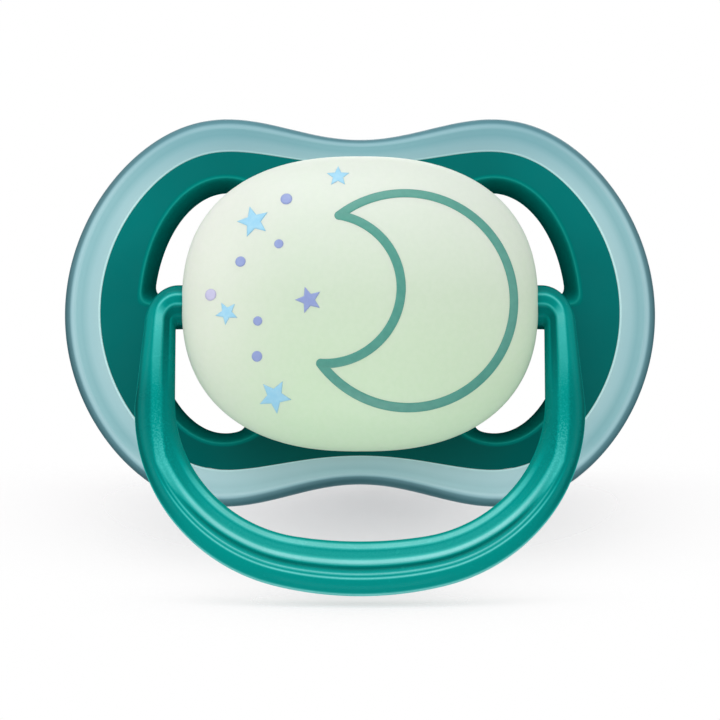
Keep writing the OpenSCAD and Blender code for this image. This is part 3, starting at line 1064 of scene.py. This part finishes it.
def build_print():
    outer, inner = crescent_line()
    width = 0.85
    parts = [ink_ribbon(outer, width, False), ink_ribbon(inner, width, False)]
    parts += [dot(*tip, width / 2) for tip in (outer[0], outer[-1])]
    teal = ink_material("teal_ink", srgb(78, 152, 138), srgb(84, 158, 143))
    blue = ink_material("sky_ink", srgb(150, 208, 236), srgb(162, 214, 238))
    lilac = ink_material("lilac_ink", srgb(150, 166, 214), srgb(143, 158, 210))
    pale = ink_material("pale_ink", srgb(198, 196, 226), srgb(192, 190, 222))
    stars, dots, pale_dots = [], [], []
    for i in range(4):
        turn = math.radians(97 + 45 * i)
        place = np.array([-0.6 + 11.6 * math.cos(turn), 11.4 * math.sin(turn)])
        stars.append(star(*place, 1.1 + 0.45 * (i % 2), 0.25 * i))
    for i in range(12):
        turn = math.radians(78 + 20 * i)
        share = 0.64 + 0.28 * (i % 3) / 2
        place = np.array([-0.6 + 14.2 * share * math.cos(turn), 11.2 * share * math.sin(turn)])
        near_star = min(np.linalg.norm(place - (-0.6 + 11.6 * math.cos(b), 11.4 * math.sin(b)))
                        for b in np.radians(97 + 45 * np.arange(4)))
        if clear_of_crescent(place, 1.5) and near_star > 2.3:
            (pale_dots if i % 4 == 1 else dots).append(dot(*place, 0.42 + 0.06 * (i % 3)))
    add_ink("crescent_print", parts, teal)
    add_ink("star_print", stars, blue)
    add_ink("small_star_print", [star(-4.6, -0.4, 1.25, 0.3)], lilac)
    add_ink("dot_print", dots, lilac)
    add_ink("pale_dot_print", pale_dots, pale)


def add_ink(name, parts, material):
    points, faces = join_parts(parts)
    piece = add_mesh(name, points, faces, "body", material)
    orient(piece)
    return piece


# ---------- carried-over parts ----------

def finish_node(node, material, bevel):
    """Gives a CAD node its material and smooth shading, with edges over 35 degrees kept sharp."""
    piece = frame["nodes"][node]
    piece.data.materials.clear()
    piece.data.materials.append(material)
    piece.data.polygons.foreach_set("use_smooth", [True] * len(piece.data.polygons))
    piece.data.set_sharp_from_angle(angle=math.radians(35))


# ---------- stage ----------

AMBIENT = 0.52              # even light that reaches dull surfaces
CAMERA_DISTANCE = 178.0
CAMERA_ELEVATION = -5.7
VIEW_ANGLE = 22.5
AIM_Z = -4.7


def floor_height(y):
    """A paper sweep: highest where the ring rests, falling away in front and rising to a step behind."""
    front, soft = -13.5, 5.0
    fall = 0.15 * soft * np.logaddexp(0, (front - y) / soft)
    return -27.35 - fall + 13.35 * smooth(y, -4.0, 30.0)


def build_floor():
    xs = np.linspace(-80, 80, 81)
    ys = np.linspace(-60, 90, 151)
    points = [(x, y, float(floor_height(y))) for y in ys for x in xs]
    n = len(xs)
    faces = [(j * n + i, j * n + i + 1, (j + 1) * n + i + 1, (j + 1) * n + i)
             for j in range(len(ys) - 1) for i in range(n - 1)]
    mesh = bpy.data.meshes.new("floor")
    mesh.from_pydata(in_frame(points).tolist(), [], faces)
    mesh.polygons.foreach_set("use_smooth", [True] * len(mesh.polygons))
    x, y = np.array(points)[:, 0], np.array(points)[:, 1]
    # the grey paper shows only behind the shield and under the ring and melts into the white background elsewhere:
    # the shadows on it are rendered, and the grey patch itself is a painted shadow
    behind = bell(x, 0, 27) * smooth(y, 0, 17) * (1 - smooth(y, 17, 27))
    contact = 0.6 * bell(x, 0, 14) * bell(y, -8, 11)
    floor = bpy.data.objects.new("floor", mesh)
    add_attribute(floor, "fade", 1 - np.clip(behind + contact, 0, 1))
    bpy.context.scene.collection.objects.link(floor)
    s = Shader("paper")
    s.set(Base_Color=(0.62, 0.59, 0.605, 1), Roughness=0.9, Specular_IOR_Level=0.0)
    s.set(Emission_Color=(1, 1, 1, 1), Emission_Strength=0.28)
    # seen from below or behind, the paper isn't there
    fade = s.math("MAXIMUM", s.attribute("fade"), s.node("ShaderNodeNewGeometry").outputs["Backfacing"])
    clear = s.node("ShaderNodeBsdfTransparent")
    blend = s.tree.nodes.new("ShaderNodeMixShader")
    s.tree.links.new(fade, blend.inputs[0])
    s.tree.links.new(s.surface.outputs[0], blend.inputs[1])
    s.tree.links.new(clear.outputs[0], blend.inputs[2])
    s.tree.links.new(blend.outputs[0], s.output.inputs["Surface"])
    mesh.materials.append(s.material)


def build_world():
    """White to the eye and through clear parts; even light for dull surfaces; mostly dark in reflections."""
    world = bpy.data.worlds.new("studio")
    bpy.context.scene.world = world
    world.use_nodes = True
    tree = world.node_tree

    def node(kind, **settings):
        made = tree.nodes.new(kind)
        for key, value in settings.items():
            setattr(made, key, value)
        return made

    def choose(factor, low, high):
        """low where factor is 0 and high where it is 1."""
        made = node("ShaderNodeMix")
        for index, value in ((0, factor), (2, low), (3, high)):
            if hasattr(value, "is_linked"):
                tree.links.new(value, made.inputs[index])
            else:
                made.inputs[index].default_value = value
        return made.outputs[0]

    path = node("ShaderNodeLightPath")
    seen = node("ShaderNodeMath", operation="MAXIMUM")
    tree.links.new(path.outputs["Is Camera Ray"], seen.inputs[0])
    tree.links.new(path.outputs["Is Transmission Ray"], seen.inputs[1])
    direction = node("ShaderNodeSeparateXYZ")
    tree.links.new(node("ShaderNodeTexCoord").outputs["Generated"], direction.inputs[0])
    above = node("ShaderNodeMapRange", interpolation_type="SMOOTHSTEP")
    for key, value in (("From Min", -0.2), ("From Max", 0.9), ("To Min", 0.05), ("To Max", 0.6)):
        above.inputs[key].default_value = value
    tree.links.new(direction.outputs["Z"], above.inputs["Value"])
    unseen = choose(path.outputs["Is Glossy Ray"], AMBIENT, above.outputs["Result"])
    background = tree.nodes["Background"]
    background.inputs["Color"].default_value = (1, 1, 1, 1)
    tree.links.new(choose(seen.outputs[0], unseen, 1.0), background.inputs["Strength"])


def area_light(name, place, target, size, watts, size_y=None):
    data = bpy.data.lights.new(name, "AREA")
    data.shape = "RECTANGLE"
    data.size, data.size_y = size * MM, (size_y or size) * MM
    data.energy = watts
    light = bpy.data.objects.new(name, data)
    bpy.context.scene.collection.objects.link(light)
    light.location = in_frame(place)
    light.rotation_mode = "QUATERNION"
    light.rotation_quaternion = (Vector(target) - Vector(place)).to_track_quat("-Z", "Y")


def build_lights():
    middle = (0, 0, -4)
    area_light("top", (-40, -150, 330), middle, 320, 0.63, 220)
    area_light("below", (0, -180, -230), middle, 200, 0.26, 120)
    area_light("left", (-330, -190, 60), middle, 160, 0.46, 320)
    area_light("right", (330, -170, 60), middle, 160, 0.28, 320)
    area_light("back", (60, 320, 160), middle, 260, 0.3)


def build_camera():
    data = bpy.data.cameras.new("camera")
    data.sensor_width = 36
    data.lens = 36 / 2 / math.tan(math.radians(VIEW_ANGLE) / 2)
    data.clip_start, data.clip_end = 0.01, 5
    camera = bpy.data.objects.new("camera", data)
    bpy.context.scene.collection.objects.link(camera)
    e = math.radians(CAMERA_ELEVATION)
    place = Vector((0, -CAMERA_DISTANCE * math.cos(e), CAMERA_DISTANCE * math.sin(e)))
    camera.location = in_frame(place)
    camera.rotation_mode = "QUATERNION"
    camera.rotation_quaternion = (Vector((0, 0, AIM_Z)) - place).to_track_quat("-Z", "Y")
    bpy.context.scene.camera = camera


build_rim()
build_plate()
build_cover()
build_print()
build_ring()
build_teat()
finish_node("base_housing", housing_material(), 0.2)
finish_node("teat_plug", plug_material(), 0.1)
build_floor()
build_world()
build_lights()
build_camera()
bpy.context.scene.view_settings.view_transform = "Standard"
